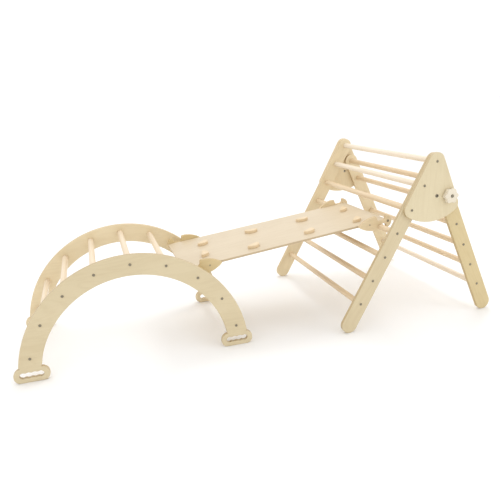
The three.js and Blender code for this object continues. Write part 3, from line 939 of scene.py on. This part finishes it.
def build_board():
    """The board, then its hook plates and climbing holds."""
    at = middle("slide_board")
    low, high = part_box("slide_board")
    half = (high.y - low.y) / 2
    # the box of the tilted board gives its length back
    length = (high.x - low.x - BOARD_T * math.sin(board_slope)) / math.cos(board_slope)
    origin = at - up_board * (length / 2) - board_normal * (BOARD_T / 2)
    matrix = placed(up_board, Y, board_normal, origin)
    outline = board_outline(length, half)
    obj = sheet_mesh("slide_board_plywood", outline, BOARD_T, BOARD_EDGE, matrix)
    hand_over(obj, board_ply, "board", "birch_board", "slide_board")
    for end, at_rung, turn in (("lower", lower_hooked, -1), ("upper", upper_hooked, 1)):
        for side, sign in SIDES:
            build_hook(end, side, sign, at_rung, turn)
    for side, facings in HOLD_FACING.items():
        for k, facing in enumerate(facings, 1):
            build_hold(side, k, math.radians(facing))


def build_hook(end, side, sign, at_rung, turn):
    """A hook plate. Its leaf points to the board's middle, so the lower ones are turned round."""
    node = f"hook_{end}_{side}"
    low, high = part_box(node)
    drop = HOOK["floor"] + RUNG_R + HOOK_PLAY
    # the board is pushed up towards the triangle, so each rung lies at the lower end of its notch
    shift = HOOK["notch_w"] / 2 - HOOK["notch_r"]
    centre = at_rung + board_normal * drop + up_board * shift
    u = up_board * turn
    v = board_normal * turn
    matrix = placed(u, v, -Y, (centre.x, high.y, centre.z))
    obj = sheet_mesh(f"{node}_plywood", hook_outline(), HOOK_T, HOOK_EDGE, matrix)
    hand_over(obj, hook_ply[end], "board", "birch_panels", node)
    face = high.y if sign > 0 else low.y

    def on_face(along):
        spot = centre + u * along
        return spot.x, face, spot.z

    button_bolt(f"{node}_bolt", on_face(HOOK_BOLT), sign, "board")
    flat_screw(f"{node}_screw", outward(on_face(HOOK_SCREW), sign), "board", HOOK_SCREW_R)


def build_hold(side, k, facing):
    """A climbing hold, its rounded side turned by the angle facing, and its two screws."""
    node = f"hold_{side}_{k}"
    at = middle(node)
    flat_u = Matrix.Rotation(facing, 3, board_normal) @ up_board
    flat_v = board_normal.cross(flat_u)
    # the turned half-moon's box is not centred on its own middle, so its seat is found from the box
    outline = hold_outline()
    rims = (Vector((0, 0, 0)), board_normal * HOLD["t"])
    spots = [flat_u * p.x + flat_v * p.y + rim for p in outline for rim in rims]
    offset = Vector([(max(s[i] for s in spots) + min(s[i] for s in spots)) / 2 for i in range(3)])
    seat = at - offset
    obj = sheet_mesh(
        f"{node}_wood", outline, HOLD["t"], HOLD_EDGE, placed(flat_u, flat_v, board_normal, seat),
        grain_turn=QUARTER, low_edge=HOLD_SEAT_EDGE, steps=5,
    )
    hand_over(obj, hold_wood, "board", "hold_wood", node)
    under = seat - board_normal * (BOARD_T + HOLD_SCREW_PROUD)
    for j, sign in enumerate((-1, 1), 1):
        spot = under + flat_v * HOLD_SCREW_SPREAD * sign
        matrix = placed(-board_normal, flat_u, -flat_v, spot)
        flat_screw(f"{node}_screw_{j}", matrix, "board", HOLD_SCREW_R)


# ------------------------------------------------------------------ floor, light and camera

FLOOR_HALF = 30                # half the floor's side, in metres
FLOOR_DROP = 0.5 * MM          # keeps the floor clear of the feet
WORLD_STRENGTH = 1.10
SOFTBOXES = (                  # name, place, diameter and watts
    ("top", (1.4, 1.6, 3.8), 1.8, 30),
    ("fill", (-1.6, 0.4, 3.6), 3.0, 10),
    ("side", (5.2, -4.4, 2.9), 1.2, 22),
)
LIT = (0, 0, 0.35)             # the point that the lights face
CAMERA_FROM_ARCH = (-0.10554, -2.35141, 1.04654)
CAMERA_YAW, CAMERA_PITCH, CAMERA_ROLL = 0.28188, 0.28520, -0.05229     # in radians
LENS, SENSOR = 39.02, 36       # in millimetres


def build_stage():
    """A white floor, far wider than the set."""
    bm = bmesh.new()
    bmesh.ops.create_grid(bm, x_segments=4, y_segments=4, size=FLOOR_HALF)
    obj = finished(bm, "floor", Matrix.Translation((0, 0, -FLOOR_DROP)), grain=False)
    obj.data.materials.append(floor_paint("floor_paint"))


def softbox(name, at, size, power):
    """A round area light that faces the set."""
    light = bpy.data.lights.new(name, "AREA")
    light.shape = "DISK"
    light.size = size
    light.energy = power
    obj = bpy.data.objects.new(name, light)
    bpy.context.scene.collection.objects.link(obj)
    obj.location = at
    obj.rotation_euler = (Vector(LIT) - Vector(at)).to_track_quat("-Z", "Y").to_euler()


def build_light():
    """An even white surround and three softboxes."""
    world = bpy.data.worlds.new("studio")
    world.use_nodes = True
    background = world.node_tree.nodes["Background"]
    background.inputs["Color"].default_value = (1, 1, 1, 1)
    background.inputs["Strength"].default_value = WORLD_STRENGTH
    bpy.context.scene.world = world
    for box in SOFTBOXES:
        softbox(*box)


def build_camera():
    """The viewpoint: in front of the arch and above it, looking along and across the set."""
    heading = Vector((math.sin(CAMERA_YAW), math.cos(CAMERA_YAW), 0))
    ahead = heading * math.cos(CAMERA_PITCH) - Z * math.sin(CAMERA_PITCH)
    level = Vector((heading.y, -heading.x, 0))
    over = level.cross(ahead)
    right = level * math.cos(CAMERA_ROLL) + over * math.sin(CAMERA_ROLL)
    up = over * math.cos(CAMERA_ROLL) - level * math.sin(CAMERA_ROLL)
    data = bpy.data.cameras.new("camera")
    data.sensor_width = SENSOR
    data.lens = LENS
    data.clip_end = 100
    obj = bpy.data.objects.new("camera", data)
    bpy.context.scene.collection.objects.link(obj)
    obj.matrix_world = placed(right, up, -ahead, arch_at + Vector(CAMERA_FROM_ARCH))
    bpy.context.scene.camera = obj


build_arch()
build_triangle()
build_board()
build_stage()
build_light()
build_camera()
bpy.context.scene.view_settings.view_transform = "Standard"
